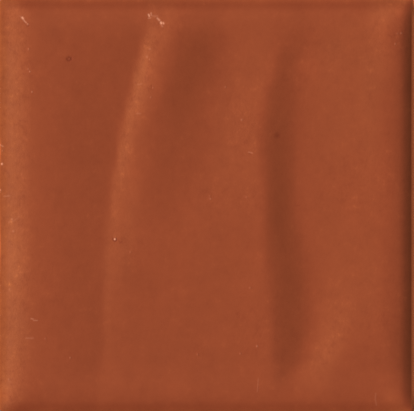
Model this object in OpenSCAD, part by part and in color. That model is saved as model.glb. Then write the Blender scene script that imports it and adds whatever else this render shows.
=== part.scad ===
// Square glazed ceramic tile with a hand-pressed look: cushioned edges, two long soft folds
// across the face, and a ribbed back that keys into the adhesive.
//
// It lies on its back. The origin is the middle of the back, on the plane that the ribs' lands
// share; +Z points out of the glazed face, +X to the right and +Y up the face.

/* [Tile] */
// Length of each side of the square
side = 100; // [80:1:200]
// Height of the level part of the face above the ribs' lands
thick = 8.4; // [7:0.1:16]
// Radius of the four upright corners
corner_r = 1.2; // [0.6:0.1:4]
// Width of the small chamfer round the lower edge
foot_chamfer = 0.5; // [0.2:0.1:0.5]

/* [Cushioned edges] */
// How far in from the left edge the bevel reaches before it rounds into the face
left_reach = 6; // [1:0.1:8]
// How far in the right edge's bevel reaches
right_reach = 1.3; // [1:0.1:8]
// How far in the top edge's bevel reaches
top_reach = 1.2; // [1:0.1:8]
// How far in the bottom edge's bevel reaches
bottom_reach = 2; // [1:0.1:8]
// Tilt of the left bevel
left_tilt = 18; // [5:1:40]
// Tilt of the right bevel
right_tilt = 34; // [5:1:40]
// Tilt of the top bevel
top_tilt = 32; // [5:1:40]
// Tilt of the bottom bevel
bottom_tilt = 30; // [5:1:40]
// Softness of the rounding from each bevel into the face
cushion_soft = 1.4; // [0.6:0.1:2.5]
// How sharp the corners' mitres are, where two cushions meet
mitre = 4; // [2:0.5:8]
// Radius of the glazed arris, where the face turns down into the sides
arris_r = 0.6; // [0.3:0.1:1]

/* [Folds] */
// Relief of the folds, as a multiple of the heights in their guide lines
relief = 1; // [0:0.05:1.3]
// Distance in from the left edge where the face is level
left_level = 11; // [8:0.5:14]

/* [Back] */
// Height of the ribs on the back
rib_h = 0.8; // [0.4:0.1:1.5]
// Width of each rib at its land
rib_w = 5; // [2:0.5:8]
// Distance from one rib to the next
rib_pitch = 10; // [9:0.5:20]
// Slope of the ribs' sides and ends, measured from upright
rib_draft = 30; // [5:1:45]
// Bare border between the ribs' ends and the tile's edge
rib_border = 4; // [2:0.5:10]

/* [Mesh] */
// Even cells across the middle of the face's grid
grid_cells = 48; // [24:1:58]

/* [Hidden] */
$fn = 48;

half = side / 2;

// Guide lines of the folds. Each runs up the face through points [x, y, z]: x and y are
// hundredths of the side, measured from the middle of the face, and z is in millimetres above
// its level part. Past its first and last points a line carries straight on.
left_foot = [
    [-27, -47, -0.20], [-26, -42, -0.35], [-25, -35, -0.50], [-24.7, -18, -0.45],
    [-24.2, -8, -0.45], [-23.2, 2, -0.55], [-21.5, 11, -0.75], [-20.4, 18, -0.80],
    [-18.5, 26, -0.80], [-16.8, 33, -0.75], [-14.9, 40, -0.50], [-14, 47, -0.05]
];
left_shoulder = [
    [-25, -47, -0.15], [-24, -42, -0.30], [-22.5, -35, -0.40], [-21.8, -18, -0.20],
    [-20.4, -8, -0.05], [-18.9, 2, 0.00], [-17.7, 11, -0.10], [-16.6, 18, -0.10],
    [-14, 26, 0.18], [-12.8, 33, 0.25], [-11.3, 40, 0.15], [-10, 47, 0.20]
];
left_crest = [
    [-23, -47, -0.12], [-21, -42, -0.25], [-20, -35, -0.35], [-18, -18, -0.10],
    [-16.5, -8, 0.20], [-15.4, 2, 0.20], [-14.2, 11, 0.00], [-13.8, 18, 0.00],
    [-11.9, 26, 0.28], [-9.8, 33, 0.38], [-8, 40, 0.38], [-7, 47, 0.35]
];
valley = [
    [4, -47, -0.05], [4, -42, -0.10], [3, -30, -0.15], [-2, -18, 0.00], [-6, -8, 0.30],
    [-5, 2, -0.15], [-0.3, 11, -0.60], [0.6, 18, -0.80], [1.8, 26, -1.00], [3.2, 33, -1.00],
    [4, 40, -0.75], [4, 47, 0.05]
];
right_crest = [
    [17, -47, 0.00], [16.4, -42, -0.05], [15.8, -35, 0.00], [15.4, -27, 0.05],
    [14.6, -18, 0.35], [14, -8, 0.55], [13.9, 2, 0.40], [13.3, 10, 0.15], [13, 18, -0.15],
    [14, 26, -0.30], [16, 33, -0.50], [16.5, 40, -0.40], [15, 47, 0.20]
];
right_foot = [
    [20.5, -47, -0.02], [20.5, -43, -0.20], [23.8, -36, -0.90], [25.7, -28, -1.20],
    [25.5, -18, -1.05], [24, -8, -0.90], [22.2, 2, -0.88], [22.4, 18, -1.35],
    [22.4, 26, -1.25], [22.4, 33, -1.15], [25, 40, -0.80], [26, 47, -0.05]
];
right_rise = [
    [31, -47, 0.05], [31, -43, 0.20], [34, -35, -0.05], [36, -27, -0.35], [37, -18, -0.45],
    [36, -5, -0.50], [36, 10, -0.70], [36, 20, -0.80], [36, 30, -0.60], [38, 47, -0.05]
];
right_lip = [
    [45, -47, 0.10], [43, -40, 0.00], [43, -25, -0.10], [43, -12, -0.20], [43, 8, -0.40],
    [43, 22, -0.35], [43, 30, -0.20], [44, 40, 0.15], [46, 47, 0.60]
];
// The lines in order across the face, after the left cushion's level line
guide_lines = [
    left_foot, left_shoulder, left_crest, valley, right_crest, right_foot, right_rise, right_lip
];
// The face meets these lines in a soft crease: [place in a row's knots, steepness beyond it].
// It arrives straight from the line before. It leaves level at 0, straight at 1, and rounds
// over above 1.
creases = [[1, 1.4], [5, 0.5]];
// Dabs where the soft clay was pressed down or stands up: [x, y, height, reach across the face,
// reach up it], with x and y as in the guide lines and the rest in millimetres
dabs = [
    [50, 51.5, 1.0, 3.2, 7.5], [47.5, 35, 0.5, 6.3, 7.5],
    [51.5, -48, 0.85, 5.7, 5.7], [48.5, -34.5, -0.2, 3.7, 6],
    [-47, -47.5, 0.5, 3.6, 8], [-45.5, -48, -0.35, 2.5, 2.2],
    [-51, 45, 0.6, 4.8, 5.5], [-51, -12, -0.5, 4.7, 7.8]
];
// The guide lines are drawn on a tile a hundred units wide
plan = side / 100;

// The face's grid runs this far past the sides, which trim it
overrun = 0.8;
// The block under the face reaches this far below the ribs, and the blank this far above the face
spare = 3;
// The ribs run this far up into the blank
rib_root = 1;
// Distances in from an edge where the grid has a line, close together round the arris
edge_lines = [-overrun, 0.12, 0.35, 0.8, 1.5, 2.4, 3.5, 4.7, 6, 7.4];

// Smooth course of a value through knots: level at each high and low, with no overshoot
function secant(at, v, i) = (v[i + 1] - v[i]) / (at[i + 1] - at[i]);
function smooth_slope(at, v, i) =
    i == 0 || i == len(v) - 1 ? 0 :
    let (a = secant(at, v, i - 1), b = secant(at, v, i))
    a * b <= 0 ? 0 : 2 * a * b / (a + b);
function crease_at(creases, i) = [for (c = creases) if (c[0] == i) c[1]];
function slope_in(at, v, creases, i) =
    len(crease_at(creases, i)) > 0 ? secant(at, v, i - 1) : smooth_slope(at, v, i);
function slope_out(at, v, creases, i) =
    let (steepness = crease_at(creases, i))
    len(steepness) > 0 ? steepness[0] * secant(at, v, i) : smooth_slope(at, v, i);
function span_at(at, s, i = 0) = i >= len(at) - 2 || s < at[i + 1] ? i : span_at(at, s, i + 1);
function course(at, v, s, creases = []) =
    s <= at[0] ? v[0] :
    s >= at[len(at) - 1] ? v[len(v) - 1] :
    let (i = span_at(at, s), w = at[i + 1] - at[i], t = (s - at[i]) / w)
    v[i] * (1 + 2 * t) * pow(1 - t, 2) + v[i + 1] * pow(t, 2) * (3 - 2 * t)
    + w * slope_out(at, v, creases, i) * t * pow(1 - t, 2)
    - w * slope_in(at, v, creases, i + 1) * pow(t, 2) * (1 - t);

// Where a guide line crosses the row at y, in millimetres
function crossing(line, y) =
    let (ys = [for (p = line) p[1] * plan])
    [plan * course(ys, [for (p = line) p[0]], y), course(ys, [for (p = line) p[2]], y)];

// The knots of the folds along one row
function row_knots(y) =
    concat([[-half + left_level, 0]], [for (line = guide_lines) crossing(line, y)]);

// Drop of a cushioned edge, at a distance in from that edge: a straight bevel that rounds
// softly into the level face
function cushion(from_edge, reach, tilt) =
    tan(tilt) * cushion_soft * ln(1 + exp((reach - from_edge) / cushion_soft));
function cushions(x, y) =
    let (drops = [
        cushion(x + half, left_reach, left_tilt), cushion(half - x, right_reach, right_tilt),
        cushion(half - y, top_reach, top_tilt), cushion(y + half, bottom_reach, bottom_tilt)
    ])
    pow(total([for (d = drops) pow(d, mitre)]), 1 / mitre);
function total(v, i = 0) = i == len(v) ? 0 : v[i] + total(v, i + 1);

// Rise of the dabs together
function dabbed(x, y) = total([
    for (d = dabs) d[2] * exp(-pow((x - d[0] * plan) / d[3], 2) - pow((y - d[1] * plan) / d[4], 2))
]);

// Distance in from the tile's outline, with its round corners
function inset(x, y) =
    let (cx = abs(x) - half + corner_r, cy = abs(y) - half + corner_r)
    cx > 0 && cy > 0 ? corner_r - norm([cx, cy]) : -max(cx, cy) + corner_r;

// Drop of the rounded arris: an arc down to where it slopes at 45 degrees, then straight on
arc_share = 1 - cos(45);
function arris(from_edge) =
    from_edge >= arris_r ? 0 :
    from_edge > arc_share * arris_r ? arris_r - sqrt(pow(arris_r, 2) - pow(arris_r - from_edge, 2)) :
    2 * arc_share * arris_r - from_edge;

function face_z(x, y, knots_x, knots_z) =
    thick + relief * (course(knots_x, knots_z, x, creases) + dabbed(x, y))
    - cushions(x, y) - arris(inset(x, y));

// Grid lines across the face: close together at both edges and even between them
last_edge_line = edge_lines[len(edge_lines) - 1];
even_span = side - 2 * last_edge_line;
grid_lines = concat(
    [for (e = edge_lines) -half + e],
    [for (i = [1 : grid_cells - 1]) -half + last_edge_line + even_span * i / grid_cells],
    [for (i = [len(edge_lines) - 1 : -1 : 0]) half - edge_lines[i]]
);

// The block under the pressed face, wider and deeper than the tile
module face_block() {
    n = len(grid_lines);
    top = [
        for (y = grid_lines)
            let (knots = row_knots(y), xs = [for (k = knots) k[0]], zs = [for (k = knots) k[1]])
            for (x = grid_lines) [x, y, face_z(x, y, xs, zs)]
    ];
    ends = [grid_lines[0], grid_lines[n - 1]];
    low = [for (y = ends) for (x = ends) [x, y, -spare]];
    a = n * n;      // low corners: a left front, a + 1 right front, a + 2 left rear, a + 3 right rear
    polyhedron(
        points = concat(top, low),
        faces = concat(
            [for (j = [0 : n - 2]) for (i = [0 : n - 2]) [j * n + i, (j + 1) * n + i, (j + 1) * n + i + 1]],
            [for (j = [0 : n - 2]) for (i = [0 : n - 2]) [j * n + i, (j + 1) * n + i + 1, j * n + i + 1]],
            [concat([a], [for (i = [0 : n - 1]) i], [a + 1])],
            [concat([a + 3], [for (i = [n - 1 : -1 : 0]) (n - 1) * n + i], [a + 2])],
            [concat([a + 2], [for (j = [n - 1 : -1 : 0]) j * n], [a])],
            [concat([a + 1], [for (j = [0 : n - 1]) j * n + n - 1], [a + 3])],
            [[a, a + 1, a + 3, a + 2]]
        )
    );
}

// Plain blank above the ribs: straight sides, round corners and a chamfered foot
module blank() {
    top_z = thick + spare;
    straight = side - 2 * corner_r;
    for (turn = [0, 90]) rotate([0, 0, turn]) rotate([90, 0, 0])
        linear_extrude(height = straight, center = true)
            polygon([
                [-half + foot_chamfer, rib_h], [half - foot_chamfer, rib_h],
                [half, rib_h + foot_chamfer], [half, top_z],
                [-half, top_z], [-half, rib_h + foot_chamfer]
            ]);
    for (sx = [-1, 1]) for (sy = [-1, 1]) translate([sx * straight / 2, sy * straight / 2, 0])
        rotate_extrude()
            polygon([
                [0, rib_h], [corner_r - foot_chamfer, rib_h],
                [corner_r, rib_h + foot_chamfer], [corner_r, top_z], [0, top_z]
            ]);
}

// Ribs on the back, side by side, with drafted sides and ends
module ribs() {
    field = side - 2 * rib_border;
    spread = rib_h * tan(rib_draft);
    count = floor((field / 2 - rib_w / 2 - spread) / rib_pitch);
    root_z = rib_h + rib_root;
    root_spread = root_z * tan(rib_draft);
    intersection() {
        union() for (i = [-count : count]) translate([i * rib_pitch, 0, 0]) rotate([90, 0, 0])
            linear_extrude(height = side, center = true)
                polygon([
                    [-rib_w / 2, 0], [rib_w / 2, 0],
                    [rib_w / 2 + root_spread, root_z], [-rib_w / 2 - root_spread, root_z]
                ]);
        rotate([90, 0, 90])
            linear_extrude(height = side, center = true)
                polygon([
                    [-field / 2 + spread, 0], [field / 2 - spread, 0],
                    [field / 2 - spread + root_spread, root_z],
                    [-field / 2 + spread - root_spread, root_z]
                ]);
    }
}

module tile() {
    color("#9b4b2e") {
        intersection() {
            blank();
            face_block();
        }
        ribs();
    }
}

tile();
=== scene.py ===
"""Looks for the square glazed tile.

One closed piece stands for the CAD tile: the CAD's face with its facets smoothed out, marks in
the glaze, a glaze line with a small bead round the sides, and the ribbed biscuit back. Sizes are
in millimetres until a mesh is made.
"""

import math

import bmesh
import bpy
import numpy as np
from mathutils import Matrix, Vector
from mathutils.bvhtree import BVHTree


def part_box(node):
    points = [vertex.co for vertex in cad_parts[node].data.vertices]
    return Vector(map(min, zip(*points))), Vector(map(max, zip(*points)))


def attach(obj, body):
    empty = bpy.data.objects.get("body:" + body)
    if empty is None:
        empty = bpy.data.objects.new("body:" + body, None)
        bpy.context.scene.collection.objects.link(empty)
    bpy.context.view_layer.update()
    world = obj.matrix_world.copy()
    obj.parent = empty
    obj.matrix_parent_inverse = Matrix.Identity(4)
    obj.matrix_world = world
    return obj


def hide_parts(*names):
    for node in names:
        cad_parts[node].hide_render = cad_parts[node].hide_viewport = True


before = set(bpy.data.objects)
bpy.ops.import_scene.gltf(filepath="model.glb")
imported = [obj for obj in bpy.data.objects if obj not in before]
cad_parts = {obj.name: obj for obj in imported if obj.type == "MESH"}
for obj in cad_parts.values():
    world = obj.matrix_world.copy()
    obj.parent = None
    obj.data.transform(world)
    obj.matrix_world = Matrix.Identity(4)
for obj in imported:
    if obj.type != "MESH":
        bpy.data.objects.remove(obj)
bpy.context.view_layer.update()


def srgb(red, green, blue):
    """A colour written as it looks on screen, 0 to 255, in the linear numbers that nodes take."""
    def linear(v):
        v = v / 255
        return v / 12.92 if v <= 0.04045 else ((v + 0.055) / 1.055) ** 2.4
    return (linear(red), linear(green), linear(blue), 1)


MM = 0.001
_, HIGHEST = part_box("tile")
HALF, TOP = HIGHEST[0] / MM, HIGHEST[2] / MM

# Sizes that part.scad gives the tile. A cushion is (reach, tilt in degrees).
CORNER_R = 1.2
CUSHIONS = {"left": (6.0, 18), "right": (1.3, 34), "top": (1.2, 32), "bottom": (2.0, 30)}
CUSHION_SOFT = 1.4
MITRE = 4
FOOT = 0.5
RIB_H, RIB_W, RIB_PITCH, RIBS_EACH_WAY = 0.8, 5.0, 10.0, 4
RIB_BORDER = 4.0
RIB_SLOPE = RIB_H * math.tan(math.radians(30))
RIB_END = HALF - RIB_BORDER - RIB_SLOPE

# Glaze coat: the round of the arris, how thick it stands on the sides, how far it runs down them
# and how much that varies
ARRIS_R = 0.55
COAT = 0.12
RUN_DOWN, RUN_DOWN_VARIES = 2.0, 0.32
# How deep the bare biscuit below it is pitted
PITS = 0.02

# Waves in the face that the folds leave out: (height, length of a wave, seed)
UNEVENNESS = [(0.012, 14, 11), (0.0035, 5, 12), (0.0012, 2.2, 13)]

# Marks in the glaze: course in mm from the middle of the face, half width, height (minus for a
# dent), how pale, how dark
MARKS = [
    # crooked chip by the upper left corner, with a bead at its lower end
    ([(-44.4, 45.2), (-44.2, 44.95)], 0.2, -0.05, 0.85, 0),
    ([(-44.15, 44.8), (-43.8, 44.3), (-43.45, 43.95)], 0.13, -0.04, 0.5, 0),
    ([(-43.1, 43.65), (-42.95, 43.55)], 0.17, 0.05, 0.3, 0),
    ([(-43.0, 43.1), (-42.7, 43.2)], 0.14, -0.03, 0, 0.3),
    # two chips at the top of the left fold, with a tan smear between them
    ([(-14.0, 45.9), (-13.85, 45.5)], 0.18, -0.05, 0.7, 0),
    ([(-13.4, 46.3), (-13.3, 45.7)], 0.13, 0.03, 0.4, 0),
    ([(-14.05, 45.0), (-13.5, 45.1)], 0.13, -0.03, 0.3, 0),
    ([(-13.2, 45.6), (-12.5, 45.5), (-12.0, 45.5)], 0.28, -0.02, 0.1, 0),
    ([(-11.9, 45.0), (-11.4, 44.5)], 0.2, -0.03, 0.45, 0),
    ([(-11.05, 44.0), (-10.95, 43.75)], 0.2, -0.06, 1, 0),
    ([(-10.5, 43.9), (-10.4, 43.7)], 0.18, -0.04, 0.7, 0),
    ([(-10.8, 43.25), (-10.6, 43.0)], 0.15, 0.03, 0.25, 0),
    ([(-11.6, 43.9), (-11.4, 43.4)], 0.15, -0.02, 0, 0.15),
    # small craters on the crest of that fold
    ([(-14.0, 34.65), (-13.5, 34.55)], 0.14, -0.03, 0, 0.2),
    ([(-14.1, 37.3), (-13.3, 37.35)], 0.13, -0.02, 0, 0.13),
    ([(-15.6, 33.3)], 0.18, -0.03, 0, 0.18),
    ([(-14.3, 35.6), (-14.4, 35.9)], 0.16, 0.03, 0.12, 0),
    ([(-16.6, 29.1), (-15.6, 29.2)], 0.13, 0.02, 0.08, 0),
    ([(-13.2, 28.9), (-13.3, 27.9)], 0.15, -0.03, 0, 0.18),
    ([(-12.9, 28.3)], 0.14, 0.03, 0.14, 0),
    ([(-16.8, 22.1), (-15.9, 22.1)], 0.13, 0.02, 0.1, 0),
    # burst blister on the left fold
    ([(-22.15, -8.1), (-22.05, -8.12)], 0.18, 0.05, 1, 0),
    ([(-22.5, -7.9), (-22.45, -8.4), (-22.0, -8.65), (-21.65, -8.4), (-21.65, -7.9)],
     0.14, -0.04, 0, 0.55),
    # crossed dark ticks beside it
    ([(-21.0, -8.6), (-20.2, -9.1)], 0.12, -0.02, 0, 0.3),
    ([(-20.9, -9.1), (-20.3, -8.6)], 0.12, -0.02, 0, 0.3),
    # pinhole with a sunken rim and a paler middle
    ([(-33.5, 35.3), (-33.35, 34.95), (-33.0, 34.85), (-32.65, 35.1), (-32.6, 35.5),
      (-33.1, 35.6)], 0.3, -0.05, 0, 0.42),
    ([(-32.45, 35.2)], 0.2, -0.03, 0, 0.45),
    ([(-33.0, 35.25)], 0.14, 0.02, 0.12, 0),
    # faint dark spots
    ([(17.0, 16.8)], 0.75, -0.02, 0, 0.36),
    ([(21.8, 0.0), (22.4, 0.0)], 0.14, -0.01, 0, 0.2),
    ([(7.4, -26.0)], 0.35, -0.01, 0, 0.12),
    # short dashes and scratches
    ([(-42.2, -27.2), (-41.7, -27.3)], 0.13, 0.03, 0.28, 0),
    ([(-41.6, -27.6), (-40.7, -27.65)], 0.12, 0.03, 0.22, 0),
    ([(-43.4, -31.9), (-41.7, -31.9)], 0.18, 0.02, 0.1, 0),
    ([(10.0, 12.85), (10.6, 12.7), (11.0, 12.6)], 0.12, 0.04, 0.18, 0),
    ([(10.2, 12.5), (10.7, 12.35)], 0.12, -0.03, 0, 0.22),
    ([(12.4, -41.6), (12.3, -43.0), (12.15, -44.7)], 0.13, 0.01, 0.08, 0),
    ([(40.6, -45.2), (40.5, -46.6), (40.8, -48.0)], 0.14, 0.01, 0.09, 0),
    ([(-49.9, 14.7), (-49.0, 14.2)], 0.14, 0.02, 0.2, 0),
    ([(-48.7, 2.2), (-47.5, 2.3)], 0.2, 0.02, 0.1, 0),
    ([(-48.7, 1.8), (-47.6, 1.9)], 0.15, -0.02, 0, 0.08),
    ([(-47.1, -4.0), (-46.2, -3.6), (-45.3, -2.9), (-45.1, -2.3)], 0.12, 0.02, 0.06, 0),
]
# Small raised specks: place, half width, how pale as a share of SPECK_PALENESS
SPECK_HEIGHT, SPECK_PALENESS = 0.07, 0.6
SPECKS = [
    (-42.8, 37.6, 0.2, 0.22), (-42.5, 32.2, 0.15, 0.6), (-42.9, 32.8, 0.16, 0.25),
    (-42.0, 27.3, 0.15, 0.55), (8.4, 20.6, 0.22, 0.28), (4.5, 28.5, 0.18, 0.2),
    (0.9, 1.6, 0.17, 0.35), (0.75, 2.3, 0.15, 0.12), (9.6, 2.0, 0.2, 0.12),
    (-32.8, -36.6, 0.18, 0.28), (8.1, -35.6, 0.2, 0.15), (12.1, -33.8, 0.17, 0.5),
    (-2.2, -35.8, 0.18, 0.12), (-18.3, -11.2, 0.2, 0.12), (-49.3, 10.0, 0.22, 1.2),
    (-49.1, 13.2, 0.2, 0.15), (-49.7, 3.7, 0.2, 0.5), (-46.8, -3.3, 0.22, 0.3),
    (-47.5, -4.0, 0.2, 0.15), (-46.5, -6.2, 0.22, 0.25), (-47.4, -20.2, 0.25, 0.12),
    (46.7, 41.4, 0.2, 0.3), (45.8, 41.3, 0.2, 0.15), (45.3, 38.8, 0.16, 0.32),
    (-38.8, -32.0, 0.16, 0.2), (-47.6, -41.8, 0.17, 0.25), (-13.6, 37.6, 0.18, 0.25),
    (-13.7, 35.1, 0.16, 0.2), (-13.4, 26.0, 0.16, 0.22), (10.4, -19.8, 0.17, 0.2),
]
MARKS += [
    ([(x, y)], width, SPECK_HEIGHT, SPECK_PALENESS * pale, 0) for x, y, width, pale in SPECKS
]

# The glaze is crinkled, and carries painted glints, where the face climbs to the right toward the
# key light, more and more between these two slopes, and in these patches besides: place, radius,
# how much
GLINTS_AND_CRINKLE_START, GLINTS_AND_CRINKLE_FULL, MOST_GLINTS_AND_CRINKLE = 0.05, 0.17, 1.2
GLINT_AND_CRINKLE_PATCHES = [
    (-42.0, 32.0, 3.0, 0.5), (9.5, 19.0, 5.0, 0.6), (8.0, 27.0, 5.0, 0.4), (1.5, 1.5, 4.0, 0.6),
    (10.0, 2.5, 3.5, 0.5), (-19.0, -11.0, 4.0, 0.4), (46.0, 40.0, 5.0, 0.8),
    (45.0, 5.0, 9.0, 0.35), (44.0, -25.0, 9.0, 0.4), (30.0, -22.0, 5.0, 0.15),
    (25.0, 36.0, 8.0, 0.3), (-46.0, -44.0, 5.0, 0.5), (-40.0, -18.0, 6.0, 0.3),
    (12.0, -30.0, 6.0, 0.4), (-9.0, 44.0, 5.0, 0.4), (36.0, 4.0, 8.0, 0.3),
]

# The glaze's tone in from each edge, as (mm, times its plain colour): darker near the arris and
# lighter a little further in, where the top and bottom carry a painted sheen. The right arris,
# which lies in shade, is painted pale as if lit.
EDGE_TONES_AND_LIGHT = {
    "top": [(0, 1.15), (0.6, 1.07), (1.1, 0.96), (1.8, 0.91), (2.3, 0.93), (2.9, 1.01), (3.5, 1.06),
            (5.4, 1.065), (7.4, 1.035), (9.5, 1.0)],
    "bottom": [(0, 0.95), (0.7, 0.9), (1.6, 0.855), (2.1, 0.87), (2.5, 0.91), (3, 0.96), (5, 1.0),
               (7.5, 1.03), (9.5, 1.015), (13, 1.0)],
    "left": [(0, 0.53), (0.3, 0.74), (0.75, 0.83), (1.3, 0.84), (2.5, 0.9), (4, 0.94), (5, 0.945),
             (7, 0.985), (9, 1.0), (12.5, 1.035), (16, 1.015), (20, 1.0)],
    "right": [(0, 2.2), (0.6, 2.1), (0.75, 1.1), (0.95, 0.66), (1.3, 0.7), (2.3, 0.73), (3.2, 0.87),
              (3.7, 0.94), (5.5, 0.965), (8, 1.0)],
}
# How far from its ends each edge's tone has died away, where it meets the next edge
EDGE_ENDS = {"top": 2.0, "bottom": 2.0, "left": 0.5, "right": 5.0}
# How much more its green follows that tone than its red does, and its blue in turn
EDGE_REDNESS = {"top": 0.4, "bottom": 0.4, "left": 0.3, "right": 0.08}
BLUE_FOLLOWS = 1.7
# Where the glaze is lighter or darker besides: place, reach across the face and up it, how much
TONE_PATCHES = [
    # upper left corner
    (-46.5, 46.5, 3.5, 1.8, 0.1), (-47.0, 40.5, 1.5, 4.5, 0.08), (-37.5, 43.0, 3.0, 5.0, -0.07),
    (-39.0, 49.3, 3.5, 0.9, -0.09), (-47.6, 49.4, 1.0, 0.6, -0.1),
    # lower left corner
    (-49.0, -45.9, 1.8, 1.5, 0.18), (-47.0, -42.0, 1.6, 4.5, 0.07),
    (-37.5, -44.0, 2.5, 3.5, -0.05), (-48.5, -49.1, 1.8, 1.0, -0.12),
    # upper right corner
    (46.5, 46.2, 1.6, 2.0, 0.14), (43.0, 40.0, 1.2, 5.5, 0.07), (43.5, 49.2, 4.5, 1.0, -0.17),
    (41.5, 47.3, 2.2, 1.5, -0.04), (49.9, 49.4, 0.4, 1.3, 3.0), (48.6, 37.0, 1.0, 5.0, 0.07),
    # lower right corner
    (42.5, -45.5, 3.0, 3.0, 0.045),
    # lighter on the left arris, a dark dip in the top one, a light stretch by the bottom one
    (-50.0, -9.5, 0.4, 5.0, 0.65), (-50.0, 13.0, 0.45, 2.2, 0.75),
    (-12.0, 49.5, 3.5, 1.5, -0.13), (22.0, -45.8, 4.0, 1.5, 0.05),
    # in and beside the left bevel
    (-44.0, 34.0, 2.0, 10.0, 0.03), (-44.0, -30.5, 2.5, 6.0, -0.05),
    (-35.0, 21.0, 2.5, 7.0, -0.03), (-47.5, -2.5, 1.5, 1.8, -0.06),
    (-48.5, 31.0, 1.0, 3.5, -0.05),
    # along the left fold
    (-14.0, 38.0, 1.2, 4.0, -0.08), (-18.5, 40.0, 2.5, 4.0, -0.03), (-12.0, 29.0, 1.5, 6.0, 0.04),
    (-28.0, 10.0, 4.0, 7.0, -0.03), (-20.0, 14.0, 1.0, 4.0, -0.05), (-17.5, 6.0, 1.2, 6.0, 0.04),
    (-24.5, -13.5, 1.3, 9.0, -0.06), (-19.5, -12.5, 1.3, 6.0, -0.07),
    (-26.5, -30.0, 2.2, 8.0, -0.04), (-15.5, -34.0, 4.0, 9.0, -0.035),
    (-14.0, 34.0, 0.8, 4.5, 0.1), (-16.8, 31.5, 1.0, 4.0, -0.065),
    (-12.8, 45.0, 1.5, 1.5, -0.07), (-18.1, -1.7, 1.3, 2.5, -0.05),
    # between the folds
    (-5.5, 46.8, 1.5, 1.2, 0.05), (-2.5, 29.0, 2.5, 9.0, 0.065), (4.0, 31.0, 1.8, 8.0, -0.055),
    (3.0, 17.0, 1.8, 7.0, -0.03), (0.0, 42.5, 10.0, 3.0, 0.035), (-11.0, 22.0, 2.0, 4.0, -0.03),
    (-6.0, -11.5, 4.0, 6.0, 0.04), (-8.0, -44.0, 4.5, 2.5, 0.04), (10.0, -32.0, 3.0, 12.0, 0.045),
    (1.0, 5.0, 4.0, 3.0, -0.02), (13.0, 23.0, 3.0, 4.0, 0.045), (11.0, -14.0, 3.0, 8.0, 0.02),
    # about the right fold
    (17.0, 36.0, 2.0, 6.0, 0.04), (22.0, 33.0, 3.0, 4.0, 0.05), (25.5, 34.0, 1.5, 6.0, 0.04),
    (19.5, 19.5, 1.6, 3.0, -0.05), (20.5, -9.0, 2.0, 12.0, 0.03), (15.8, -34.5, 1.0, 3.5, -0.035),
    (17.5, -41.5, 1.5, 2.5, -0.07), (24.5, -34.0, 1.2, 2.0, 0.03), (29.0, -38.0, 2.0, 1.5, -0.035),
    (30.0, -41.0, 3.0, 4.0, -0.04), (31.3, -31.0, 1.2, 7.0, -0.03),
    # beyond it
    (31.0, 37.5, 2.5, 4.0, -0.075), (38.5, 35.5, 3.0, 2.5, -0.04), (40.0, 27.0, 2.2, 10.0, -0.06),
    (30.0, 18.5, 4.0, 3.5, -0.045), (34.5, 1.0, 3.0, 5.0, 0.055), (41.5, -2.5, 2.5, 4.0, 0.035),
    (43.5, 5.0, 2.0, 15.0, 0.05), (39.0, -19.0, 1.8, 5.0, -0.035),
]

# Painted sheen and shade by slope. Where the face climbs to the right, toward the key light, the
# glaze is painted lighter and more yellow as a sheen: how much its red gains for each unit of
# climb, and its green and blue besides. Where it falls away from the light it is painted bluer, as
# the pale sky seen in the shade, and where it falls steeply it is painted greener too. Past
# STEEPEST it changes no more.
SHEEN_RED, SHEEN_GREEN, SHEEN_BLUE = 0.2, 0.6, 0.1
SHADED_GREEN, SHADED_BLUE = 1.2, 0.4
STEEPEST = 0.35

# How strong the glaze's blotches are, and its flecks where it is plain and where it is crinkled;
# there the strong light flecks are painted glints. The faint flecks are held back and the dark ones
# cut off, so that a few light ones stand out. Their green and blue change more than their red.
BLOTCHES = 0.065
PLAIN_FLECKS, GLINTING_FLECKS = 0.9, 2.7
FAINT_FLECKS, DARKEST_FLECK, FLECK_YELLOW = 0.06, -0.28, 1.4
# How strong the bare clay's blotches and speckle are, and how much its pale grains show
CLAY_BLOTCHES, CLAY_SPECKLE, CLAY_GRAINS = 0.22, 0.25, 0.5

# Colours, and how much of its colour the glaze has on the sides
GLAZE = (0.307, 0.06, 0.0189, 1)
SIDE_TINT = 0.95
# Pale for the marks and specks
PALE_MARK = srgb(240, 164, 128)
PINHOLE = srgb(100, 28, 12)
CLAY = srgb(178, 118, 90)
CLAY_GRAIN = srgb(214, 176, 146)
FLOOR = (0.8, 0.79, 0.77, 1)

# Gloss. The glaze is rougher in chips, by the arris, as (mm in, how much), and where it is seen
# nearly edge-on, as (Layer Weight's facing, share): its fine unevenness keeps it from mirroring
# the pale horizon there.
GLAZE_ROUGHNESS, GLAZE_ROUGHNESS_VARIES = 0.72, 0.07
CHIPS_ROUGHER = 0.15
ARRIS_ROUGHER = [(0, 0.25), (1.2, 0.12), (2.4, 0.0)]
EDGE_ON, EDGE_ON_ROUGHER = [(0.6, 0), (0.9, 1)], 0.3
GLAZE_SPECULAR = 0.15
CLAY_ROUGHNESS = 0.92
# Relief too fine for the mesh, in mm: on plain and on crinkled glaze, and on bare clay
PLAIN_PEEL, CRINKLED_PEEL, GRIT = 0.01, 0.034, 0.05
# How ragged the glaze line is, and how softly it ends, in mm
RAGGED, LINE_SOFTNESS = 0.06, 0.03

# Light: soft from all round, and a broad key from the left, turned a little to the back.
# KEY_SHARE is how brightly the key alone lights a level white face.
OVERHEAD = (0.26, 0.26, 0.26, 1)
HORIZON = (0.84, 0.83, 0.81, 1)
KEY_ELEVATION, KEY_TURN, KEY_SPREAD = 28, 7, 12
KEY_SHARE = 0.7
KEY_STRENGTH = KEY_SHARE * math.pi / math.sin(math.radians(KEY_ELEVATION))

# Camera: a long lens. How much of the tile's width the view holds at the height of the rim, and
# how far to the right its middle is.
LENS, SENSOR_WIDTH = 400, 36
VIEW_WIDTH = 0.9966
VIEW_SHIFT = 0.05
RIM_HEIGHT = 6.5


# ---------------------------------------------------------------- the face's heights

def from_edges(x, y):
    return {"left": x + HALF, "right": HALF - x, "top": HALF - y, "bottom": y + HALF}


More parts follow.
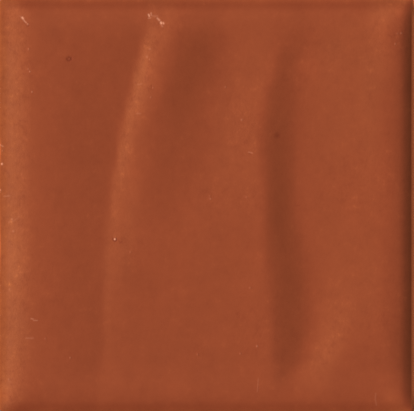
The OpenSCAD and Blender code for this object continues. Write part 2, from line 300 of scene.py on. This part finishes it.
def inset(x, y):
    """Distance in from the tile's outline, with its round corners."""
    cx, cy = np.abs(x) - HALF + CORNER_R, np.abs(y) - HALF + CORNER_R
    round_part = CORNER_R - np.hypot(cx, cy)
    return np.where((cx > 0) & (cy > 0), round_part, CORNER_R - np.maximum(cx, cy))


def cushions(x, y):
    """Drop of the four cushioned edges, as part.scad has it."""
    total = 0
    for edge, distance in from_edges(x, y).items():
        reach, tilt = CUSHIONS[edge]
        bevel = np.log1p(np.exp((reach - distance) / CUSHION_SOFT))
        total = total + (math.tan(math.radians(tilt)) * CUSHION_SOFT * bevel) ** MITRE
    return total ** (1 / MITRE)


def smoothed(grid, passes):
    """The grid after that many 1-2-1 passes each way. Slopes carry on past its borders."""
    for _ in range(passes):
        for axis in (0, 1):
            grid = np.moveaxis(grid, axis, 0)
            wide = np.concatenate([2 * grid[:1] - grid[1:2], grid, 2 * grid[-1:] - grid[-2:-1]])
            grid = np.moveaxis((wide[:-2] + 2 * wide[1:-1] + wide[2:]) / 4, 0, axis)
    return grid


def reader(start, step, grid):
    """A function that reads the grid between its points, and holds its value past the borders."""
    def read(x, y):
        u = np.clip((x - start) / step, 0, grid.shape[0] - 1.001)
        v = np.clip((y - start) / step, 0, grid.shape[1] - 1.001)
        i, j = u.astype(int), v.astype(int)
        u, v = u - i, v - j
        return ((1 - u) * (1 - v) * grid[i, j] + u * (1 - v) * grid[i + 1, j]
                + (1 - u) * v * grid[i, j + 1] + u * v * grid[i + 1, j + 1])
    return read


def cad_folds():
    """The folds alone, read from the CAD face by rays from above and smoothed past its facets."""
    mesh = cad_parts["tile"].data
    tree = BVHTree.FromPolygons([v.co for v in mesh.vertices], [p.vertices for p in mesh.polygons])
    edge, step, passes = HALF - 0.8, 0.3, 5
    at = np.arange(-edge, edge + 0.01, step)
    down, above = Vector((0, 0, -1)), (TOP + 5) * MM
    grid = np.array([
        [tree.ray_cast(Vector((x * MM, y * MM, above)), down)[0].z / MM for y in at] for x in at
    ])
    x, y = np.meshgrid(at, at, indexing="ij")
    return reader(at[0], step, smoothed(grid + cushions(x, y), passes))


def waves(length, seed):
    """Soft random waves of about that length, in any direction, with a standard deviation of 1."""
    step = length / 8
    count = int(2 * HALF / step) + 16
    spectrum = np.fft.rfft2(np.random.default_rng(seed).standard_normal((count, count)))
    per_mm = np.hypot(np.fft.fftfreq(count, step)[:, None], np.fft.rfftfreq(count, step))
    kept = np.exp(-((length * per_mm - 1) / 0.35) ** 2)
    grid = np.fft.irfft2(spectrum * kept, (count, count))
    return reader(-HALF - 4 * step, step, grid / grid.std())


def mark_shape(x, y, course, width):
    """1 on a mark's course, falling away to each side over its half width."""
    near = np.full(x.shape, np.inf)
    course = course if len(course) > 1 else course * 2
    for (ax, ay), (bx, by) in zip(course, course[1:]):
        square = max((bx - ax) ** 2 + (by - ay) ** 2, 1e-9)
        along = np.clip(((x - ax) * (bx - ax) + (y - ay) * (by - ay)) / square, 0, 1)
        near = np.minimum(near, np.hypot(x - ax - along * (bx - ax), y - ay - along * (by - ay)))
    return np.exp(-(near / width) ** 2)


folds = cad_folds()
unevenness = [(height, waves(length, seed)) for height, length, seed in UNEVENNESS]


def arris_drop(from_edge):
    """Drop of the round glazed arris."""
    inner = np.clip(ARRIS_R - from_edge, 0, ARRIS_R)
    return ARRIS_R - np.sqrt(ARRIS_R ** 2 - inner ** 2)


def face_height(x, y):
    """Height of the face above the floor, with its marks."""
    z = folds(x, y) - cushions(x, y) - arris_drop(inset(x, y))
    z += sum(height * wave(x, y) for height, wave in unevenness)
    z += sum(height * mark_shape(x, y, course, width) for course, width, height, _, _ in MARKS)
    return np.minimum(z, TOP)


def climb(x, y):
    """How steeply the face climbs to the right, without its marks and its arris."""
    reach = 0.4
    return (folds(x + reach, y) - folds(x - reach, y)
            - cushions(x + reach, y) + cushions(x - reach, y)) / (2 * reach)


def face_tint_and_light(x, y):
    """The glaze's red, green and blue on the face, as times its plain colour: its tone by the
    edges, with painted sheen by the top and bottom and a painted pale right arris, its lighter and
    darker patches, and painted sheen and shade by the slope.
    """
    tone, yellow = 1, 1
    distances = from_edges(x, y)
    for edge, distance in distances.items():
        ends = ("left", "right") if edge in ("top", "bottom") else ("top", "bottom")
        shares = [np.clip(distances[end] / EDGE_ENDS[edge], 0, 1) for end in ends]
        near_edge = np.interp(distance, *zip(*EDGE_TONES_AND_LIGHT[edge])) ** (shares[0] * shares[1])
        tone, yellow = tone * near_edge, yellow * near_edge ** EDGE_REDNESS[edge]
    patches = [
        amount * np.exp(-((x - px) / across) ** 2 - ((y - py) / up) ** 2)
        for px, py, across, up, amount in TONE_PATCHES
    ]
    tone = tone * (1 + sum(patches))
    # Painted sheen where the face climbs toward the key light, painted shade colour where it falls
    # away
    slope = np.clip(climb(x, y), -STEEPEST, STEEPEST)
    lit_climb, shaded_fall = slope.clip(0), -slope.clip(None, 0)
    red = tone * (1 + SHEEN_RED * lit_climb)
    green = red * yellow * (1 + SHEEN_GREEN * lit_climb + SHADED_GREEN * shaded_fall ** 2)
    blue = red * yellow ** BLUE_FOLLOWS * (1 + SHEEN_BLUE * lit_climb + SHADED_BLUE * shaded_fall)
    return np.stack([red, green, blue], axis=1)


def crinkle_and_glints(x, y):
    """How crinkly the glaze is, and how bright its painted glints are: most where the face climbs
    to the right, toward the light, as on the left bevel.
    """
    amount = np.clip((climb(x, y) - GLINTS_AND_CRINKLE_START) / (GLINTS_AND_CRINKLE_FULL - GLINTS_AND_CRINKLE_START), 0, 1)
    for px, py, radius, more in GLINT_AND_CRINKLE_PATCHES:
        amount = amount + more * np.exp(-((x - px) ** 2 + (y - py) ** 2) / radius ** 2)
    return np.minimum(amount, MOST_GLINTS_AND_CRINKLE)


# ---------------------------------------------------------------- the tile's mesh

def lines_within(lines):
    """Those lines, and the two where the round corners start."""
    limit = HALF - CORNER_R
    return np.array(sorted({round(v, 4) for v in lines if abs(v) < limit} | {-limit, limit}))


def across_ribs():
    """Lattice lines across the ribs: close at their slopes, so that the back keeps its edges."""
    steps = [0, 0.65, 1.3, 1.9, 2.3, 2.5, 2.75, 2.96, 3.2, 3.75, 4.4, 5.0]
    pitch = sorted({-s for s in steps} | set(steps))[1:]
    ribs = range(-RIBS_EACH_WAY, RIBS_EACH_WAY + 1)
    lines = [rib * RIB_PITCH + s for rib in ribs for s in pitch]
    border = [45.6, 46.2, 46.9, 47.6, 48.2]
    return lines_within(lines + border + [-b for b in border])


def along_ribs():
    """Lattice lines along the ribs: even, and close at the ribs' ends."""
    even = list(np.arange(-44.8, 44.9, 0.7))
    ends = [45.3, RIB_END, 45.8, HALF - RIB_BORDER, 46.3, 46.9, 47.5, 48.2]
    return lines_within(even + ends + [-e for e in ends])


def outline(xs, ys, arc_steps=8):
    """Round the lattice, anticlockwise: the lattice vertex that each spoke starts from, and the
    way out. At a corner the spokes fan out from one vertex."""
    nx, ny = len(xs), len(ys)
    sides = [
        list(range(nx)),
        [j * nx + nx - 1 for j in range(ny)],
        [(ny - 1) * nx + i for i in reversed(range(nx))],
        [j * nx for j in reversed(range(ny))],
    ]
    starts, turns = [], []
    for side, vertices in enumerate(sides):
        starts += vertices + [vertices[-1]] * (arc_steps - 1)
        turns += [side] * len(vertices) + [side + step / arc_steps for step in range(1, arc_steps)]
    angle = (np.array(turns) - 1) * math.pi / 2
    return np.array(starts), np.stack([np.cos(angle), np.sin(angle)], 1)


def ripple(places, total, seed, waves_round):
    """Smooth random wave along the outline that meets itself, about 1 high."""
    rng = np.random.default_rng(seed)
    parts = [
        rng.normal() * np.sin(2 * math.pi * count * places / total + rng.uniform(0, 2 * math.pi))
        for count in waves_round
    ]
    return sum(parts) / math.sqrt(len(parts) / 2)


def rib_height(x, y):
    """Height of the back above the floor: 0 on the ribs' lands, with softened edges."""
    rib = np.clip(np.round(x / RIB_PITCH), -RIBS_EACH_WAY, RIBS_EACH_WAY) * RIB_PITCH
    outside = np.maximum(np.abs(x - rib) - RIB_W / 2, np.abs(y) - RIB_END) / RIB_SLOPE
    soft = 0.22  # of the slope's width
    ramp = [(t + np.sqrt(t ** 2 + soft ** 2)) / 2 for t in (outside, outside - 1)]
    return RIB_H * np.clip(ramp[0] - ramp[1], 0, 1)


def side_rings(places, total, rim_z):
    """Rings down the sides, as (distance in from the outline, height), and the glaze line. The
    glaze runs down to an uneven line and ends in a small bead on the pitted biscuit."""
    slow = ripple(places, total, 21, range(2, 18, 2))
    quick = ripple(places, total, 22, range(30, 90, 9))
    foot_z = RIB_H + FOOT
    line_z = rim_z - RUN_DOWN - RUN_DOWN_VARIES * (slow + 0.2 * quick)
    line_z = np.clip(line_z, foot_z + 0.8, rim_z - 0.9)
    pitted = COAT + PITS * (1 + ripple(places, total, 23, range(40, 160, 7)).clip(-1, 1))
    level = np.zeros(len(rim_z))
    glazed = [(level, line_z + share * (rim_z - line_z)) for share in (0.75, 0.5, 0.3)]
    bead = [(level + d, line_z + h) for d, h in ((0.0, 0.16), (0.02, 0.06), (0.07, 0.0))]
    bare = line_z - 0.05 - foot_z
    biscuit = [(pitted, foot_z + share * bare) for share in (1, 0.75, 0.5, 0.25, 0.05)]
    foot = [(level + d, level + z) for d, z in ((0.2, 1.12), (0.34, 0.93), (0.55, RIB_H))]
    return glazed + bead + biscuit + foot, line_z


def refine(mesh, face_vertices):
    """Cuts the face's quads fine wherever a mark needs it. New vertices come after the old."""
    middles = np.array([p.center for p in mesh.polygons]) / MM
    wanted = np.zeros(len(middles), bool)
    close = 0.3
    for course, width, *_ in MARKS:
        reach = 1.6 * width + 0.25
        wanted |= mark_shape(middles[:, 0], middles[:, 1], course, reach) > close
    bm = bmesh.new()
    bm.from_mesh(mesh)
    bm.faces.ensure_lookup_table()
    chosen = [
        f for f in bm.faces
        if wanted[f.index] and len(f.verts) == 4 and all(v.index < face_vertices for v in f.verts)
    ]
    edges = list({e for f in chosen for e in f.edges})
    bmesh.ops.subdivide_edges(bm, edges=edges, cuts=3, use_grid_fill=True)
    bm.to_mesh(mesh)
    bm.free()


def tile_faces(nx, ny, starts, ring_count):
    """Faces over the face's lattice, then the rings from the top down, then the back's lattice,
    with every normal outwards."""
    spokes = len(starts)
    back_start = nx * ny + ring_count * spokes
    faces = []
    for j in range(ny - 1):
        for i in range(nx - 1):
            a = j * nx + i
            faces.append((a, a + 1, a + nx + 1, a + nx))
            faces.append(tuple(back_start + v for v in (a, a + nx, a + nx + 1, a + 1)))
    rings = [nx * ny + spokes * r + np.arange(spokes) for r in range(ring_count)]
    rows = [starts] + rings + [back_start + starts]
    for upper, lower in zip(rows, rows[1:]):
        for k in range(spokes):
            corners = (upper[k], lower[k], lower[(k + 1) % spokes], upper[(k + 1) % spokes])
            faces.append(tuple(int(v) for v in dict.fromkeys(corners)))
    return faces


def mark_tones(x, y):
    """How pale and how dark the marks are at each place."""
    pale, dark = np.zeros(x.shape), np.zeros(x.shape)
    for course, width, _, mark_pale, mark_dark in MARKS:
        shape = mark_shape(x, y, course, width)
        pale, dark = np.maximum(pale, shape * mark_pale), np.maximum(dark, shape * mark_dark)
    return pale, dark


def store(mesh, name, values, vertices=slice(None), elsewhere=0.0):
    """Keeps one number or three at each of those vertices, for the material to read."""
    full = np.full((len(mesh.vertices), *values.shape[1:]), elsewhere)
    full[vertices] = values
    kind, field = ("FLOAT", "value") if full.ndim == 1 else ("FLOAT_VECTOR", "vector")
    mesh.attributes.new(name, kind, "POINT").data.foreach_set(field, full.ravel())


def tile_piece():
    """The whole tile as one closed mesh, with what its material reads at each vertex."""
    xs, ys = across_ribs(), along_ribs()
    lattice = np.array([(x, y) for y in ys for x in xs])
    starts, out = outline(xs, ys)
    spokes = len(starts)

    def ring(from_edge):
        return lattice[starts] + out * (CORNER_R - np.broadcast_to(from_edge, spokes))[:, None]

    # The face's outer rings close up round the arris, and the walls follow its rim
    turns = np.radians(np.arange(0, 91, 11.25))
    face_rings = [ring(d) for d in (0.95, 0.75, *(ARRIS_R * (1 - np.sin(turns))))]
    rim = ring(0.0)
    steps = np.hypot(*(rim - np.roll(rim, 1, axis=0)).T)
    walls, line_z = side_rings(np.cumsum(steps), steps.sum(), face_height(*rim.T))

    points = [np.column_stack([flat, np.zeros(len(flat))]) for flat in (lattice, *face_rings)]
    face_vertices = sum(len(p) for p in points)
    points += [np.column_stack([ring(d), z]) for d, z in walls]
    points += [np.column_stack([lattice, rib_height(*lattice.T)])]
    points = np.concatenate(points)
    faces = tile_faces(len(xs), len(ys), starts, len(face_rings) + len(walls))
    mesh = bpy.data.meshes.new("glazed_tile")
    mesh.from_pydata((points * MM).tolist(), [], faces)
    refine(mesh, face_vertices)

    # The face's heights, now that it has all its vertices
    count = len(mesh.vertices)
    where = np.empty(count * 3)
    mesh.vertices.foreach_get("co", where)
    where = where.reshape(-1, 3) / MM
    on_face = np.r_[np.arange(face_vertices), np.arange(len(points), count)]
    x, y = where[on_face, :2].T
    where[on_face, 2] = face_height(x, y)
    mesh.vertices.foreach_set("co", (where * MM).ravel())

    # Height above the glaze line: far above it on the face, and far below it on the back
    far = 9.0
    above_line = np.full(count, -far)
    above_line[on_face] = far
    for r, (_, z) in enumerate(walls):
        start = face_vertices + r * spokes
        above_line[start:start + spokes] = z - line_z
    pale, dark = mark_tones(x, y)
    store(mesh, "above_line", above_line)
    store(mesh, "pale", pale, on_face)
    store(mesh, "dark", dark, on_face)
    # The crinkle mask also sets the painted glints, and the tint holds painted sheen, shade and
    # light
    store(mesh, "crinkle_and_glints", crinkle_and_glints(x, y), on_face)
    store(mesh, "from_edge", inset(x, y), on_face)
    store(mesh, "tint_and_light", face_tint_and_light(x, y), on_face, elsewhere=SIDE_TINT)

    mesh.polygons.foreach_set("use_smooth", [True] * len(mesh.polygons))
    mesh.update()
    piece = bpy.data.objects.new("glazed_tile", mesh)
    bpy.context.scene.collection.objects.link(piece)
    return piece


# ---------------------------------------------------------------- materials

class Graph:
    """Makes and joins shader nodes in a few words."""

    def __init__(self, tree):
        self.tree = tree
        tree.nodes.clear()

    def add(self, kind, inputs=(), **settings):
        """A node with its settings, and with each input joined to a socket or set to a value."""
        node = self.tree.nodes.new(kind)
        for name, value in settings.items():
            setattr(node, name, value)
        for name, value in dict(inputs).items():
            if isinstance(value, bpy.types.NodeSocket):
                self.tree.links.new(value, node.inputs[name])
            else:
                node.inputs[name].default_value = value
        return node

    def math(self, operation, *values):
        return self.add("ShaderNodeMath", dict(enumerate(values)), operation=operation).outputs[0]

    def attribute(self, name, output="Fac"):
        return self.add("ShaderNodeAttribute", attribute_name=name).outputs[output]

    def noise(self, size, detail=2.0, roughness=0.5, shift=0.0):
        """Noise about 0, between -1 and 1, with blotches of about that size in mm."""
        where = self.add("ShaderNodeTexCoord").outputs["Object"]
        moved = self.add("ShaderNodeVectorMath", {0: where, 1: [shift] * 3}, operation="ADD")
        texture = self.add("ShaderNodeTexNoise", {
            "Vector": moved.outputs[0], "Scale": 1 / (size * MM),
            "Detail": detail, "Roughness": roughness,
        })
        return self.math("MULTIPLY_ADD", texture.outputs["Fac"], 2.0, -1.0)

    def ramp(self, value, stops):
        """A soft course through (value, result) pairs."""
        lowest, highest = stops[0][0], stops[-1][0]
        place = self.add("ShaderNodeMapRange", {
            "Value": value, "From Min": lowest, "From Max": highest,
        })
        node = self.add("ShaderNodeValToRGB", {"Fac": place.outputs["Result"]})
        node.color_ramp.interpolation = "EASE"
        elements = node.color_ramp.elements
        while len(elements) < len(stops):
            elements.new(0.5)
        for element, (at, result) in zip(elements, stops):
            element.position = (at - lowest) / (highest - lowest)
            element.color = (result, result, result, 1)
        return node.outputs["Color"]

    def mix(self, factor, a, b, blend="MIX"):
        """A mix of two colours. Its sockets go by number, because their names repeat."""
        node = self.add("ShaderNodeMix", data_type="RGBA", blend_type=blend)
        for socket, value in zip((node.inputs[0], node.inputs[6], node.inputs[7]), (factor, a, b)):
            if isinstance(value, bpy.types.NodeSocket):
                self.tree.links.new(value, socket)
            else:
                socket.default_value = value
        return node.outputs[2]

    def blend(self, factor, a, b):
        """a at 0 and b at 1, for plain numbers."""
        return self.math("MULTIPLY_ADD", factor, self.math("SUBTRACT", b, a), a)


def new_material(name):
    material = bpy.data.materials.new(name)
    material.use_nodes = True
    return material, Graph(material.node_tree)


def glaze_colour(g, crinkled_and_glinting):
    """Soft blotches and small flecks over its colour, which carries painted sheen and shade, then
    the marks. The light flecks are brighter, as painted glints, where the face climbs toward the
    light.
    """
    blotches = g.math("MULTIPLY_ADD", g.noise(5, 3, shift=3.1), BLOTCHES, 1.0)
    fine = g.math("MAXIMUM", g.noise(2.2, 4, 0.7, shift=5.7), DARKEST_FLECK)
    sparse = g.math("MULTIPLY", fine, g.math("MULTIPLY_ADD", fine, fine, FAINT_FLECKS))
    flecks = g.math("MULTIPLY", sparse, g.blend(crinkled_and_glinting, PLAIN_FLECKS, GLINTING_FLECKS))
    mottle = g.add("ShaderNodeCombineColor", {
        "Red": g.math("ADD", blotches, flecks),
        "Green": g.math("MULTIPLY_ADD", flecks, FLECK_YELLOW, blotches),
        "Blue": g.math("MULTIPLY_ADD", flecks, FLECK_YELLOW, blotches),
    })
    tinted_and_lit = g.mix(1.0, GLAZE, g.attribute("tint_and_light", "Vector"), "MULTIPLY")
    plain = g.mix(1.0, tinted_and_lit, mottle.outputs["Color"], "MULTIPLY")
    chipped = g.mix(g.attribute("pale"), plain, PALE_MARK)
    return g.mix(g.attribute("dark"), chipped, PINHOLE)


def clay_colour(g):
    """Matt red clay with pale grains."""
    tone = g.math("MULTIPLY_ADD", g.noise(9, 4, shift=1.3), CLAY_BLOTCHES, 1.0)
    tone = g.math("MULTIPLY_ADD", g.noise(0.8, 4, shift=2.2), CLAY_SPECKLE, tone)
    plain = g.mix(1.0, CLAY, tone, "MULTIPLY")
    grains = g.ramp(g.noise(1.1, 1, shift=8.4), [(0.42, 0), (0.55, 1)])
    return g.mix(g.math("MULTIPLY", grains, CLAY_GRAINS), plain, CLAY_GRAIN)


def glaze_roughness(g):
    """Satin, and duller in chips, by the arris and where it is seen nearly edge-on."""
    rough = g.noise(3, 3, shift=4.4)
    rough = g.math("MULTIPLY_ADD", rough, GLAZE_ROUGHNESS_VARIES, GLAZE_ROUGHNESS)
    rough = g.math("MULTIPLY_ADD", g.attribute("pale"), CHIPS_ROUGHER, rough)
    rough = g.math("ADD", rough, g.ramp(g.attribute("from_edge"), ARRIS_ROUGHER))
    facing = g.add("ShaderNodeLayerWeight", {"Blend": 0.5}).outputs["Facing"]
    return g.math("MULTIPLY_ADD", g.ramp(facing, EDGE_ON), EDGE_ON_ROUGHER, rough)


def glazed_clay():
    """Satin glaze above the ragged glaze line, and bare biscuit below it."""
    material, g = new_material("satin_glaze_on_red_clay")
    ragged = g.math("MULTIPLY_ADD", g.noise(0.7, 3), RAGGED, g.attribute("above_line"))
    glazed = g.ramp(ragged, [(-LINE_SOFTNESS, 0), (LINE_SOFTNESS, 1)])
    crinkled_and_glinting = g.attribute("crinkle_and_glints")
    peel_height = g.blend(crinkled_and_glinting, PLAIN_PEEL * MM, CRINKLED_PEEL * MM)
    peel = g.math("MULTIPLY", g.noise(0.9, 3, 0.6, shift=6.6), peel_height)
    grit = g.math("MULTIPLY", g.noise(0.5, 5, 0.65, shift=7.7), GRIT * MM)
    bump = g.add("ShaderNodeBump", {
        "Height": g.blend(glazed, grit, peel), "Strength": 1.0, "Distance": 1.0,
    })
    shader = g.add("ShaderNodeBsdfPrincipled", {
        "Base Color": g.mix(glazed, clay_colour(g), glaze_colour(g, crinkled_and_glinting)),
        "Roughness": g.blend(glazed, CLAY_ROUGHNESS, glaze_roughness(g)),
        "Specular IOR Level": GLAZE_SPECULAR,
        "Normal": bump.outputs["Normal"],
    })
    g.add("ShaderNodeOutputMaterial", {"Surface": shader.outputs["BSDF"]})
    return material


tile = tile_piece()
tile.data.materials.append(glazed_clay())
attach(tile, "root")
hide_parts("tile")


# ---------------------------------------------------------------- floor, light and camera

def floor():
    """A plain pale disc, 12 m across."""
    bm = bmesh.new()
    bmesh.ops.create_circle(bm, cap_ends=True, radius=6, segments=96)
    mesh = bpy.data.meshes.new("floor")
    bm.to_mesh(mesh)
    bm.free()
    material, g = new_material("pale_floor")
    shader = g.add("ShaderNodeBsdfPrincipled", {
        "Base Color": FLOOR, "Roughness": 1.0, "Specular IOR Level": 0.0,
    })
    g.add("ShaderNodeOutputMaterial", {"Surface": shader.outputs["BSDF"]})
    mesh.materials.append(material)
    made = bpy.data.objects.new("floor", mesh)
    bpy.context.scene.collection.objects.link(made)
    return made


def studio_world():
    """Soft light from all round: pale near the horizon, and greyer overhead."""
    world = bpy.data.worlds.new("studio")
    world.use_nodes = True
    g = Graph(world.node_tree)
    way = g.add("ShaderNodeTexCoord").outputs["Generated"]
    height = g.add("ShaderNodeSeparateXYZ", {0: way}).outputs["Z"]
    low = g.math("SUBTRACT", 1.0, g.math("MAXIMUM", height, 0.0))
    shade = g.mix(g.math("POWER", low, 4.0), OVERHEAD, HORIZON)
    light = g.add("ShaderNodeBackground", {"Color": shade, "Strength": 1.0})
    g.add("ShaderNodeOutputWorld", {"Surface": light.outputs["Background"]})
    return world


def key_light():
    """The low broad light from the left that shows the folds."""
    lamp = bpy.data.lights.new("key", "SUN")
    lamp.energy, lamp.angle = KEY_STRENGTH, math.radians(KEY_SPREAD)
    made = bpy.data.objects.new("key", lamp)
    low, turn = math.radians(KEY_ELEVATION), math.radians(KEY_TURN)
    level = math.cos(low)
    to_light = Vector((-level * math.cos(turn), level * math.sin(turn), math.sin(low)))
    made.rotation_euler = to_light.to_track_quat("Z", "Y").to_euler()
    bpy.context.scene.collection.objects.link(made)


def camera():
    """Straight above the tile, which fills the view from side to side."""
    data = bpy.data.cameras.new("camera")
    data.type, data.lens, data.sensor_width = "PERSP", LENS, SENSOR_WIDTH
    view_width = VIEW_WIDTH * 2 * HALF * MM
    made = bpy.data.objects.new("camera", data)
    distance = view_width * data.lens / data.sensor_width
    made.location = (VIEW_SHIFT * MM, 0, RIM_HEIGHT * MM + distance)
    bpy.context.scene.collection.objects.link(made)
    bpy.context.scene.camera = made


floor()
bpy.context.scene.world = studio_world()
key_light()
camera()
bpy.context.scene.view_settings.view_transform = "Standard"
